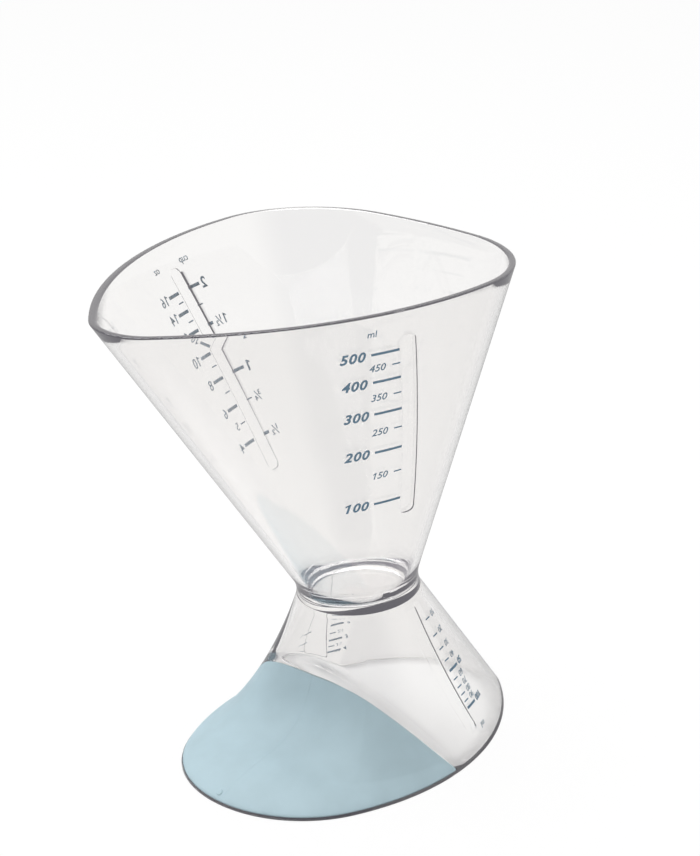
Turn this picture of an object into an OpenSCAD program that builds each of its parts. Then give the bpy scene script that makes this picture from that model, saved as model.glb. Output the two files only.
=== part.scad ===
// Double-ended measuring cup: a large pouring cup above a small cup that stands mouth down.
// One clear moulding holds both cups. A soft grip covers the toe of the small cup.
// X runs along the mirror plane towards the pouring corner, Z is up, the foot stands on Z = 0.
// The origin is on the foot's plane, in the middle of the cup's length. Sizes along X are measured
// from the centre of the neck, and each part is then moved there as a whole.

/* [Large cup] */
// Height of the whole cup, foot to rim
cup_h = 176; // [160:1:192]
// Centre of the pouring corner's arc, ahead of the neck
rim_front_x = 95; // [85:1:105]
// Radius of the pouring corner
rim_front_r = 18.5; // [12:0.5:26]
// Centres of the two back corners' arcs, ahead of the neck
rim_back_x = 3.5; // [-4:0.5:8]
// Centres of the two back corners' arcs, out to each side
rim_back_y = 16.5; // [10:0.5:22]
// Radius of the two back corners
rim_back_r = 40; // [34:0.5:46]
// Radius of the bowed long sides of the rim
rim_side_r = 140; // [110:1:180]
// Radius of the bowed back side of the rim
rim_tail_r = 184; // [120:1:220]

/* [Neck] */
// Height of the neck above the foot
neck_z = 57.5; // [50:0.5:66]
// Half length of the neck's oval, along X
neck_len_r = 21.8; // [18:0.1:25]
// Half width of the neck's oval, along Y
neck_wid_r = 18.5; // [16:0.1:22]
// How far the outside of the neck is blended up and down from its waist
neck_blend = 6; // [3:0.5:9]
// Thickness of the floor that the two cups share
web_t = 2; // [1.6:0.1:4]
// How far the large cup's floor lies below the waist
floor_drop = 2.4; // [1:0.1:4]
// Radius where the large cup's floor meets its wall
floor_r = 1.8; // [1:0.1:3]

/* [Small cup] */
// Centre of the toe's arc in the foot's outline, ahead of the neck
foot_front_x = 29; // [22:1:36]
// Radius of the toe in the foot's outline
foot_front_r = 42; // [36:0.5:46]
// Centres of the two heel arcs, ahead of the neck
foot_back_x = -45.5; // [-52:0.5:-40]
// Centres of the two heel arcs, out to each side
foot_back_y = 4; // [2:0.5:8]
// Radius of the two heel arcs
foot_back_r = 20; // [16:0.5:24]
// Radius of the bowed sides of the foot
foot_side_r = 91; // [80:1:110]
// Radius of the bowed heel
foot_tail_r = 110; // [80:1:150]
// Height down to which the front of the small cup falls straight
toe_drop_h = 34.5; // [28:0.5:42]
// Height that the toe's back heads for as it turns forward
toe_back_h = 11.7; // [10:0.1:14]
// Height of the toe's top, half way to its nose
toe_top_h = 9; // [7.6:0.1:9.8]
// Height that the toe's top heads for before the nose rounds under
toe_nose_h = 5.6; // [5:0.1:6.6]
// How far round each side the toe's sweep reaches, in degrees
toe_spread = 123; // [115:1:140]

/* [Walls] */
// Thickness of the clear wall
wall = 2.2; // [1.8:0.1:2.8]
// Radius on the edges of the rim
edge_r = 0.5; // [0.2:0.05:0.7]

/* [Soft grip] */
// Thickness of the soft grip, and depth of the pocket that holds it
grip_t = 1.5; // [1:0.1:1.9]
// Slope of the grip's upper edge, in degrees
grip_tilt = 53.4; // [48:0.2:60]
// Where the plane of the grip's upper edge meets the table, ahead of the neck
grip_start_x = 1.7; // [-3:0.1:6]
// Height of the clear lip that shows below the grip
lip_h = 1.2; // [0.8:0.1:2]
// Gap between the grip and its pocket
fit_gap = 0.1; // [0.05:0.05:0.2]

/* [Graduations] */
// Front edge of the large cup's scale strips at the rim, in degrees round from the pouring corner
strip_rim_angle = 74.7; // [70:0.1:79]
// Front edge of the large cup's scale strips at the waist, in degrees round from the pouring corner
strip_waist_angle = 80.7; // [76:0.1:85]
// Width of the bare strip that the large cup's marks start from
strip_w = 6.4; // [4:0.1:8]
// Where the small cup's millilitre marks start, in degrees round from the toe
small_scale_angle = 106.3; // [100:0.1:114]
// Where the small cup's ounce marks start on the other side, in degrees round from the toe
small_ounce_angle = 111; // [105:0.1:116]
// Length of the large cup's numbered millilitre marks
long_mark = 10.2; // [6:0.1:11]
// Length of a whole cup's mark, of numbered ounce marks and of the small cup's long marks
cup_mark = 6.4; // [4:0.1:8]
// Length of all other marks
short_mark = 2.9; // [2:0.1:4]
// Line width of a numbered millilitre mark
bold_line = 0.9; // [0.5:0.05:1.2]
// Line width of a cup, half cup or numbered ounce mark
heavy_line = 1.15; // [0.8:0.05:1.5]
// Line width of the other marks
fine_line = 0.45; // [0.3:0.05:0.6]
// How far the printed marks stand proud of the wall
ink_t = 0.12; // [0.08:0.01:0.2]

/* [Hidden] */

clear = [0.86, 0.88, 0.89, 0.35];
grip_blue = [0.65, 0.75, 0.79];
ink_blue = [0.35, 0.45, 0.54];

cup_ml = 236.6;
ounce_ml = 29.57;

// Steps of the meshes round the cup, and along each stretch of its profile
grip_steps = 22;
back_steps = 22;
blend_steps = 6;
wall_steps = 6;
pocket_steps = 14;
inside_steps = 12;
mark_steps = 4;
halvings = 16;
volume_levels = 16;
tiny = 0.002;

floor_z = neck_z - floor_drop;
ceiling_z = floor_z - web_t;
// The smallest height of the grip, at the two points where its edge runs out, and the angle
// over which the pocket ends there
grip_tip_h = 1;
end_step = 0.5;
// The printed marks clear the flats of the wall's mesh by this much
ink_gap = 0.03;
// The grip ends between these two angles, and the wall behind its pocket thins out between them
thick_from = 60;
thick_to = 130;

// Two smooth curves that carry on from each other draw the toe in the mirror plane. Their points
// are shares of the way out from neck to foot, and of the neck's height.
flare_share = 0.93;
flare = [[0, 1], [0, toe_drop_h / neck_z], [0.02, toe_back_h / neck_z], [0.55, toe_top_h / neck_z]];
nose = [flare[3], flare[3] + (flare[3] - flare[2]) * 0.09, [1, toe_nose_h / neck_z], [0.985, 0]];

function mix(a, b, t) = a * (1 - t) + b * t;
function smooth(t) = let (s = min(1, max(0, t))) s * s * (3 - 2 * s);
function bezier(p, t) =
    len(p) == 1 ? p[0] : bezier([for (i = [1 : len(p) - 1]) mix(p[i - 1], p[i], t)], t);
function facing(a) = [cos(a), sin(a)];
function level(p, z) = [p[0], p[1], z];

// An outline of tangent arcs with a mirror line along X: front, side, back corner and tail.
// Each arc is [centre x, centre y, radius, first angle of its outward normal].
function outline(front_x, front_r, back_x, back_y, back_r, side_r, tail_r) =
    let (
        reach = [back_x - front_x, back_y],
        span = norm(reach),
        along = (pow(side_r - front_r, 2) - pow(side_r - back_r, 2) + span * span) / (2 * span),
        across = sqrt(pow(side_r - front_r, 2) - along * along),
        e = reach / span,
        side = [front_x, 0] + e * along + [-e[1], e[0]] * across,
        tail_x = back_x + sqrt(pow(tail_r - back_r, 2) - back_y * back_y)
    )
    [
        [front_x, 0, front_r, 0],
        [side[0], side[1], side_r, atan2(-side[1], front_x - side[0])],
        [back_x, back_y, back_r, atan2(back_y - side[1], back_x - side[0])],
        [tail_x, 0, tail_r, 180 - asin(back_y / (tail_r - back_r))]
    ];
function arc_at(arcs, a, i = 3) = i == 0 || abs(a) >= arcs[i][3] ? arcs[i] : arc_at(arcs, a, i - 1);
function on_outline(arcs, a) =
    let (k = arc_at(arcs, a)) [k[0] + k[2] * cos(a), sign(a) * k[1] + k[2] * sin(a)];

rim_arcs = outline(rim_front_x, rim_front_r, rim_back_x, rim_back_y, rim_back_r, rim_side_r, rim_tail_r);
foot_arcs = outline(foot_front_x, foot_front_r, foot_back_x, foot_back_y, foot_back_r, foot_side_r,
    foot_tail_r);

// The points of the three outlines that face the same way, at angle a from the pouring corner
function rim_at(a) = on_outline(rim_arcs, a);
function foot_at(a) = on_outline(foot_arcs, a);
function neck_at(a) =
    [pow(neck_len_r, 2) * cos(a), pow(neck_wid_r, 2) * sin(a)]
        / norm([neck_len_r * cos(a), neck_wid_r * sin(a)]);

// The large cup's wall leans out in straight lines from the neck to the rim
function lean(a) = atan2((rim_at(a) - neck_at(a)) * facing(a), cup_h - neck_z);
function cup_wall(a, z, depth = 0) =
    let (
        skin = mix(neck_at(a), rim_at(a), (z - neck_z) / (cup_h - neck_z)),
        p = skin - facing(a) * depth / cos(lean(a))
    )
    level(p, z);

// The small cup's wall runs straight to the foot at the back and sweeps into the toe in front.
// A line down the wall is [angle, neck point, foot point, share of the toe's sweep].
function toe_curve(u) =
    u < flare_share ? bezier(flare, u / flare_share) : bezier(nose, (u - flare_share) / (1 - flare_share));
function wall_line(a) = [a, neck_at(a), foot_at(a), smooth(1 - abs(a) / toe_spread)];
function foot_skin(line, u) =
    let (
        k = line[3] == 0 ? [u, 1 - u] : mix([u, 1 - u], toe_curve(u), line[3]),
        p = mix(line[1], line[2], k[0])
    )
    [p[0], p[1], neck_z * k[1]];
function foot_normal(line, u) =
    let (
        down = foot_skin(line, u + tiny) - foot_skin(line, u - tiny),
        n = cross(down, [-sin(line[0]), cos(line[0]), 0])
    )
    n / norm(n);
function foot_wall(line, u, depth) =
    depth == 0 ? foot_skin(line, u) : foot_skin(line, u) - foot_normal(line, u) * depth;
function foot_depth(a) = wall + grip_t * smooth((thick_to - abs(a)) / (thick_to - thick_from));

// The share of the way down a wall line where the wall is at height z
function place_at(line, z, depth = 0, top = 0, bottom = 1, n = halvings) =
    let (middle = (top + bottom) / 2)
    n == 0 ? middle
        : foot_wall(line, middle, depth)[2] > z ? place_at(line, z, depth, middle, bottom, n - 1)
        : place_at(line, z, depth, top, middle, n - 1);

// The grip's upper edge lies in one tilted plane
function above_grip(p) = p[2] - tan(grip_tilt) * (p[0] - grip_start_x);
function edge_at(line, top = 0, bottom = 1, n = halvings) =
    let (middle = (top + bottom) / 2)
    n == 0 ? middle
        : above_grip(foot_skin(line, middle)) > 0 ? edge_at(line, middle, bottom, n - 1)
        : edge_at(line, top, middle, n - 1);
function tip_angle(low = thick_from, high = thick_to, n = halvings) =
    let (middle = (low + high) / 2, line = wall_line(middle))
    n == 0 ? middle
        : above_grip(foot_skin(line, place_at(line, lip_h + grip_tip_h))) < 0
            ? tip_angle(middle, high, n - 1) : tip_angle(low, middle, n - 1);
grip_end = tip_angle();

// Angles of the mesh's columns on one side, with one at the end of the grip and one just past it
grip_angles = [for (i = [0 : grip_steps]) grip_end * i / grip_steps];
half_angles = concat(grip_angles, [for (i = [0 : back_steps]) mix(grip_end + end_step, 180, i / back_steps)]);

// The other side mirrors the first. The points on the mirror plane are not repeated.
function mirrored(p) = [p[0], -p[1], p[2]];
function both_sides(half, ends_on_plane) = concat(
    [for (i = [len(half) - (ends_on_plane ? 2 : 1) : -1 : 1]) [for (p = half[i]) mirrored(p)]],
    half
);

// Solid through closed rings of points. The end rings are closed by a zigzag across them.
module lofted(rings) {
    n = len(rings[0]);
    last = (len(rings) - 1) * n;
    half = floor(n / 2);
    sides = [
        for (i = [0 : len(rings) - 2], j = [0 : n - 1])
            let (a = i * n + j, b = i * n + (j + 1) % n)
            each [[a, b, a + n], [b, b + n, a + n]]
    ];
    ends = [
        for (i = [0 : half - 2])
            let (p = i, q = i + 1, r = n - 2 - i, s = n - 1 - i)
            each [[p, s, q], [q, s, r], [last + p, last + q, last + s], [last + q, last + r, last + s]]
    ];
    middle = n % 2 == 1 ? [[half - 1, n - half, half], [last + half - 1, last + half, last + n - half]] : [];
    polyhedron(points = [for (ring = rings, p = ring) p], faces = concat(sides, ends, middle));
}

// The shares down a wall line at which the rows of the grip and its pocket lie
function pocket_top(line) = min(edge_at(line), place_at(line, lip_h + grip_tip_h));
function pocket_rows(line, top, lip) =
    let (rim = fit_gap * 4 * tiny / norm(foot_skin(line, lip + tiny) - foot_skin(line, lip - tiny)))
    [for (i = [0 : pocket_steps]) mix(top + rim, lip - rim, i / pocket_steps)];

// One profile of the clear moulding, from the large cup's floor over the rim to the small cup's roof
function body_profile(a) =
    let (
        corner = cup_wall(a, floor_z, wall),
        corner_up = cup_wall(a, floor_z + floor_r, wall),
        inward = facing(a) * floor_r,
        line = wall_line(a),
        corner_in = [corner[0] - inward[0], corner[1] - inward[1], floor_z],
        waist = foot_skin(line, 0),
        blend_up = cup_wall(a, neck_z + neck_blend * cos(lean(a))),
        blend_share = neck_blend * tiny / norm(foot_skin(line, tiny) - waist),
        top = pocket_top(line),
        depth = abs(a) <= grip_end ? grip_t : 0,
        lip = place_at(line, lip_h),
        thick = foot_depth(a),
        mouth = place_at(line, 0, thick, 0.5, 1),
        roof = place_at(line, ceiling_z, thick, 0, 0.5)
    )
    concat(
        [for (t = [0 : 0.5 : 1]) bezier([corner_in, corner, corner_up], t)],
        [cup_wall(a, cup_h - edge_r, wall), cup_wall(a, cup_h, wall - edge_r)],
        [cup_wall(a, cup_h, edge_r), cup_wall(a, cup_h - edge_r)],
        [for (i = [0 : blend_steps]) bezier([blend_up, waist, foot_skin(line, blend_share)], i / blend_steps)],
        [for (i = [1 : wall_steps]) foot_skin(line, mix(blend_share, top, i / wall_steps))],
        [for (u = pocket_rows(line, top, lip)) foot_wall(line, u, depth)],
        [foot_skin(line, lip), foot_skin(line, 1)],
        [level(foot_wall(line, mouth, thick), 0)],
        [for (i = [1 : inside_steps - 1]) foot_wall(line, mix(mouth, roof, i / inside_steps), thick)],
        [level(foot_wall(line, roof, thick), ceiling_z)]
    );

// Moves the parts from the neck's centre to the middle of the length, from rim tip to heel
centre_x = (cup_wall(0, cup_h - edge_r)[0] + foot_at(180)[0]) / 2;
module placed() {
    translate([-centre_x, 0, 0]) children();
}

module clear_body() {
    profiles = both_sides([for (a = half_angles) body_profile(a)], true);
    rows = len(profiles[0]);
    color(clear)
        placed()
            lofted([for (i = [0 : rows - 1]) [for (p = profiles) p[i]]]);
}

// The grip fills its pocket and ends flush with the clear wall round it
function grip_section(a) =
    let (
        line = wall_line(a),
        rows = pocket_rows(line, pocket_top(line), place_at(line, lip_h)),
        last = len(rows) - 1
    )
    concat(
        [for (u = rows) foot_skin(line, u)],
        [for (i = [last : -1 : 0]) foot_wall(line, rows[i], grip_t - fit_gap)]
    );

module soft_grip() {
    color(grip_blue)
        placed()
            lofted(both_sides([for (a = grip_angles) grip_section(a)], false));
}

// Area of a level section that is mirrored across X, from the points of one side
function section_area(half) =
    2 * abs([for (i = [1 : len(half) - 1]) cross(half[i - 1], half[i])] * [for (i = [1 : len(half) - 1]) 0.5]);
function flat(p) = [p[0], p[1]];

// Volume of the large cup up to a share of its depth. Its area is a square law in the height,
// so three sections give it everywhere and Simpson's rule is exact.
cup_areas = [
    for (t = [0 : 0.5 : 1])
        section_area([for (a = half_angles) flat(cup_wall(a, mix(floor_z, cup_h, t), wall))])
];
function cup_area(t) = cup_areas[0] * (1 - t) * (1 - 2 * t) + cup_areas[1] * 4 * t * (1 - t)
    + cup_areas[2] * t * (2 * t - 1);
function cup_volume(z) =
    let (t = (z - floor_z) / (cup_h - floor_z))
    (z - floor_z) * (cup_area(0) + 4 * cup_area(t / 2) + cup_area(t)) / 6000;
function cup_level(ml, low = floor_z, high = cup_h, n = halvings) =
    let (middle = (low + high) / 2)
    n == 0 ? middle
        : cup_volume(middle) < ml ? cup_level(ml, middle, high, n - 1)
        : cup_level(ml, low, middle, n - 1);

// Levels of the small cup, which is filled mouth up, so its volume grows from the roof down
small_step = ceiling_z / volume_levels;
small_walls = [
    for (a = half_angles)
        let (line = wall_line(a))
        [for (i = [0 : 2 * volume_levels]) foot_wall(line, i / (2 * volume_levels), foot_depth(a))]
];
small_areas = [
    for (i = [0 : volume_levels])
        let (z = ceiling_z - small_step * i)
        section_area([
            for (w = small_walls)
                [lookup(z, [for (p = w) [p[2], p[0]]]), lookup(z, [for (p = w) [p[2], p[1]]])]
        ])
];
function small_volume(i) =
    i == 0 ? 0 : small_volume(i - 1) + (small_areas[i - 1] + small_areas[i]) * small_step / 2000;
small_table = [for (i = [0 : volume_levels]) [small_volume(i), ceiling_z - small_step * i]];
function small_level(ml) = lookup(ml, small_table);

// A printed line on a wall is a thin curved bar from angle a round by a length, at height z. The
// speed is how far the wall runs round for one degree.
speed_step = 0.5;
function cup_speed(a, z) = norm(cup_wall(a + speed_step, z) - cup_wall(a - speed_step, z)) / (2 * speed_step);
function cup_point(a, z, up, out) =
    let (t = lean(a)) cup_wall(a, z + up * cos(t)) + out * [cos(a) * cos(t), sin(a) * cos(t), -sin(t)];

module bar(sections, run) {
    last = len(sections) - 1;
    lofted([for (i = [0 : last]) sections[run > 0 ? i : last - i]]);
}

module cup_line(a, run, z, line_w) {
    turn = run / cup_speed(a, z);
    bar([
        for (i = [0 : mark_steps])
            let (b = a + turn * i / mark_steps, h = line_w / 2, far = ink_gap + ink_t)
            [
                cup_point(b, z, h, ink_gap), cup_point(b, z, -h, ink_gap),
                cup_point(b, z, -h, far), cup_point(b, z, h, far)
            ]
    ], run);
}

function foot_speed(a, u) =
    norm(foot_skin(wall_line(a + speed_step), u) - foot_skin(wall_line(a - speed_step), u)) / (2 * speed_step);

module foot_line(a, run, z, line_w) {
    u = place_at(wall_line(a), z);
    speed = foot_speed(a, u);
    h = line_w / 2 * tiny / norm(foot_skin(wall_line(a), u + tiny) - foot_skin(wall_line(a), u));
    bar([
        for (i = [0 : mark_steps])
            let (b = wall_line(a + run / speed * i / mark_steps), v = place_at(b, z), far = ink_gap + ink_t)
            [
                foot_wall(b, v - h, -ink_gap), foot_wall(b, v + h, -ink_gap),
                foot_wall(b, v + h, -far), foot_wall(b, v - h, -far)
            ]
    ], run);
}

// The scale strips lean a little forward as they rise. Marks start from either edge of a strip.
function strip_front(z) = mix(strip_waist_angle, strip_rim_angle, (z - neck_z) / (cup_h - neck_z));
function strip_back(z) = strip_front(z) + strip_w / cup_speed(strip_front(z), z);

module millilitre_marks() {
    color(ink_blue) placed()
        for (ml = [100 : 50 : 500]) {
            z = cup_level(ml);
            if (ml % 100 == 0) cup_line(strip_front(z), -long_mark, z, bold_line);
            else cup_line(strip_front(z), -short_mark, z, fine_line);
        }
}

module cup_marks() {
    color(ink_blue) placed()
        for (quarters = [2 : 8]) {
            z = cup_level(quarters * cup_ml / 4);
            run = quarters % 4 == 0 ? cup_mark : short_mark;
            cup_line(-strip_back(z), -run, z, quarters % 2 == 0 ? heavy_line : fine_line);
        }
}

module ounce_marks() {
    color(ink_blue) placed()
        for (ounces = [4 : 16]) {
            z = cup_level(ounces * ounce_ml);
            if (ounces % 2 == 0) cup_line(-strip_front(z), cup_mark, z, heavy_line);
            else cup_line(-strip_front(z), short_mark, z, fine_line);
        }
}

module small_millilitre_marks() {
    color(ink_blue) placed()
        for (ml = [10 : 10 : 100]) {
            z = small_level(ml);
            if (ml % 50 == 0) foot_line(small_scale_angle, cup_mark, z, bold_line);
            else foot_line(small_scale_angle, short_mark, z, fine_line);
        }
}

module small_ounce_marks() {
    color(ink_blue) placed()
        for (halves = [2 : 8]) {
            z = small_level(halves * ounce_ml / 2);
            if (halves % 2 == 0) foot_line(-small_ounce_angle, -cup_mark, z, bold_line);
            else foot_line(-small_ounce_angle, -short_mark, z, fine_line);
        }
}

// Quarter, third and half cup, on the other side of the bare strip
module small_cup_marks() {
    color(ink_blue) placed()
        for (share = [1 / 4, 1 / 3, 1 / 2]) {
            z = small_level(share * cup_ml);
            speed = foot_speed(-small_ounce_angle, place_at(wall_line(-small_ounce_angle), z));
            line_w = share < 1 / 2 ? fine_line : heavy_line;
            foot_line(-small_ounce_angle + strip_w / speed, short_mark, z, line_w);
        }
}

clear_body();
soft_grip();
millilitre_marks();
cup_marks();
ounce_marks();
small_millilitre_marks();
small_ounce_marks();
small_cup_marks();
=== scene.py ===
"""Looks of a double-ended clear measuring cup, dressed over its CAD model.

The clear moulding and its soft grip are rebuilt from the same outlines as the CAD, finely enough
to refract smoothly. The printed scales keep their CAD marks and gain numerals.
"""

import logging
import math
from collections.abc import Callable, Sequence
from dataclasses import dataclass, field
from enum import Enum
from itertools import count

import bmesh
import bpy
import numpy as np
from mathutils import Euler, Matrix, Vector


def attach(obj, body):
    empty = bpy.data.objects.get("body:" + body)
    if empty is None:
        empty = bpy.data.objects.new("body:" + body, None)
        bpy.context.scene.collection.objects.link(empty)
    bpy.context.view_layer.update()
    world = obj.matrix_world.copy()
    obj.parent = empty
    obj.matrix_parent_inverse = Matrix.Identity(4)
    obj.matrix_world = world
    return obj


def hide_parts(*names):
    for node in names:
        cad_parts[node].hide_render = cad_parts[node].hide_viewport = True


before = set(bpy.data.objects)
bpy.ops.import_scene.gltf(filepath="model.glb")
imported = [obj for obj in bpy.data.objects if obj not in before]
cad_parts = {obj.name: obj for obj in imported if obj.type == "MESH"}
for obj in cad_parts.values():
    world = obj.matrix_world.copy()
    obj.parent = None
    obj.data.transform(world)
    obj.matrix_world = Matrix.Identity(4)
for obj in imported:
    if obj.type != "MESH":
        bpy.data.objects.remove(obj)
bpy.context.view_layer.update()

log = logging.getLogger("measuring_cup")

MM = 0.001
BODY = "root"
# Direction that the middle of the back faces, in degrees round from the front
TAIL = 180.0
# Points closer than this are one point, in a mesh in millimetres and in one in metres
WELD_MM = 1e-4
WELD_M = 1e-6

Array = np.ndarray
Place = tuple[float, float, float]


class Way(Enum):
    """Which way up a scale reads while the cup stands on its small end."""

    UPRIGHT = 1
    FLIPPED = -1


class Align(Enum):
    """Which side of a word its place is given for."""

    LEFT = "LEFT"
    RIGHT = "RIGHT"


# Shape


@dataclass(frozen=True)
class CupSizes:
    """Driving sizes of the cup in millimetres, degrees and shares.

    They are those of the CAD source, but for edge_r and thick_fade, which make the clear walls
    refract more like the real ones.
    """

    cup_h: float = 176.0
    rim_front_x: float = 95.0
    rim_front_r: float = 18.5
    rim_back_x: float = 3.5
    rim_back_y: float = 16.5
    rim_back_r: float = 40.0
    rim_side_r: float = 140.0
    rim_tail_r: float = 184.0
    neck_z: float = 57.5
    neck_len_r: float = 21.8
    neck_wid_r: float = 18.5
    neck_blend: float = 6.0
    web_t: float = 2.0
    floor_drop: float = 2.4
    foot_front_x: float = 29.0
    foot_front_r: float = 42.0
    foot_back_x: float = -45.5
    foot_back_y: float = 4.0
    foot_back_r: float = 20.0
    foot_side_r: float = 91.0
    foot_tail_r: float = 110.0
    toe_drop_h: float = 34.5
    toe_back_h: float = 11.7
    toe_back_out: float = 0.02
    toe_top_h: float = 9.0
    toe_top_out: float = 0.55
    toe_nose_h: float = 5.6
    toe_foot_out: float = 0.985
    toe_spread: float = 123.0
    wall: float = 2.2
    edge_r: float = 0.55
    grip_t: float = 1.5
    grip_tilt: float = 53.4
    grip_start_x: float = 1.7
    lip_h: float = 1.2
    grip_tip_h: float = 1.0
    thick_fade: float = 5.0
    strip_rim_angle: float = 74.7
    strip_waist_angle: float = 80.7
    strip_w: float = 6.4
    small_scale_angle: float = 106.3
    small_ounce_angle: float = 111.0
    flare_share: float = 0.93
    nose_turn: float = 0.09

    @property
    def floor_z(self) -> float:
        """Height of the large cup's floor."""
        return self.neck_z - self.floor_drop

    @property
    def ceiling_z(self) -> float:
        """Height of the small cup's roof."""
        return self.floor_z - self.web_t


def mix(a: Array | float, b: Array | float, t: Array | float) -> Array | float:
    """Value a share t of the way from a to b."""
    return a * (1 - t) + b * t


def smooth(t: Array | float) -> Array:
    """Share that eases in and out between 0 and 1."""
    s = np.clip(t, 0.0, 1.0)
    return s * s * (3 - 2 * s)


def steps(first: float, last: float, number: int) -> Array:
    """Evenly spaced values without the last one, for runs that carry on."""
    return np.linspace(first, last, number, endpoint=False)


def bezier(points: Sequence[Array], t: Array) -> Array:
    """Points of a curve.

    Args:
        points: Control points, whose last axis holds the coordinates.
        t: Shares along the curve, with a last axis of one.

    Returns:
        The curve's points at those shares.
    """
    row = [np.asarray(p, dtype=float) for p in points]
    while len(row) > 1:
        row = [mix(a, b, t) for a, b in zip(row, row[1:])]
    return row[0]


def length(v: Array) -> Array:
    """Lengths of vectors along the last axis."""
    return np.linalg.norm(v, axis=-1)


def with_height(p: Array, z: Array | float) -> Array:
    """Level points raised to a height."""
    heights = np.broadcast_to(np.asarray(z, float), p.shape[:-1])
    return np.concatenate([p[..., :2], heights[..., None]], -1)


@dataclass(frozen=True)
class Outline:
    """Closed outline of tangent arcs with a mirror line along X: front, side, back corner, tail."""

    front_x: float
    front_r: float
    back_x: float
    back_y: float
    back_r: float
    side_r: float
    tail_r: float

    def arcs(self) -> Array:
        """Finds the arcs of one half.

        Returns:
            Rows of centre x, centre y, radius and first angle of the outward normal.
        """
        reach = np.array([self.back_x - self.front_x, self.back_y])
        span = float(length(reach))
        front_gap = self.side_r - self.front_r
        back_gap = self.side_r - self.back_r
        along = (front_gap**2 - back_gap**2 + span**2) / (2 * span)
        across = math.sqrt(front_gap**2 - along**2)
        e = reach / span
        side = np.array([self.front_x, 0]) + e * along + np.array([-e[1], e[0]]) * across
        tail_gap = self.tail_r - self.back_r
        tail_x = self.back_x + math.sqrt(tail_gap**2 - self.back_y**2)
        side_from = math.degrees(math.atan2(-side[1], self.front_x - side[0]))
        back_from = math.degrees(math.atan2(self.back_y - side[1], self.back_x - side[0]))
        tail_from = TAIL - math.degrees(math.asin(self.back_y / tail_gap))
        return np.array(
            [
                [self.front_x, 0, self.front_r, 0],
                [side[0], side[1], self.side_r, side_from],
                [self.back_x, self.back_y, self.back_r, back_from],
                [tail_x, 0, self.tail_r, tail_from],
            ]
        )

    def at(self, a: Array) -> Array:
        """Points of the outline.

        Args:
            a: Directions that the outline faces, in degrees round from the front.

        Returns:
            Level points in millimetres.
        """
        arcs = self.arcs()
        pick = sum((np.abs(a) >= first).astype(int) for first in arcs[1:, 3])
        k = arcs[pick]
        turn = np.radians(a)
        x = k[..., 0] + k[..., 2] * np.cos(turn)
        y = np.sign(a) * k[..., 1] + k[..., 2] * np.sin(turn)
        return np.stack([x, y], -1)


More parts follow.
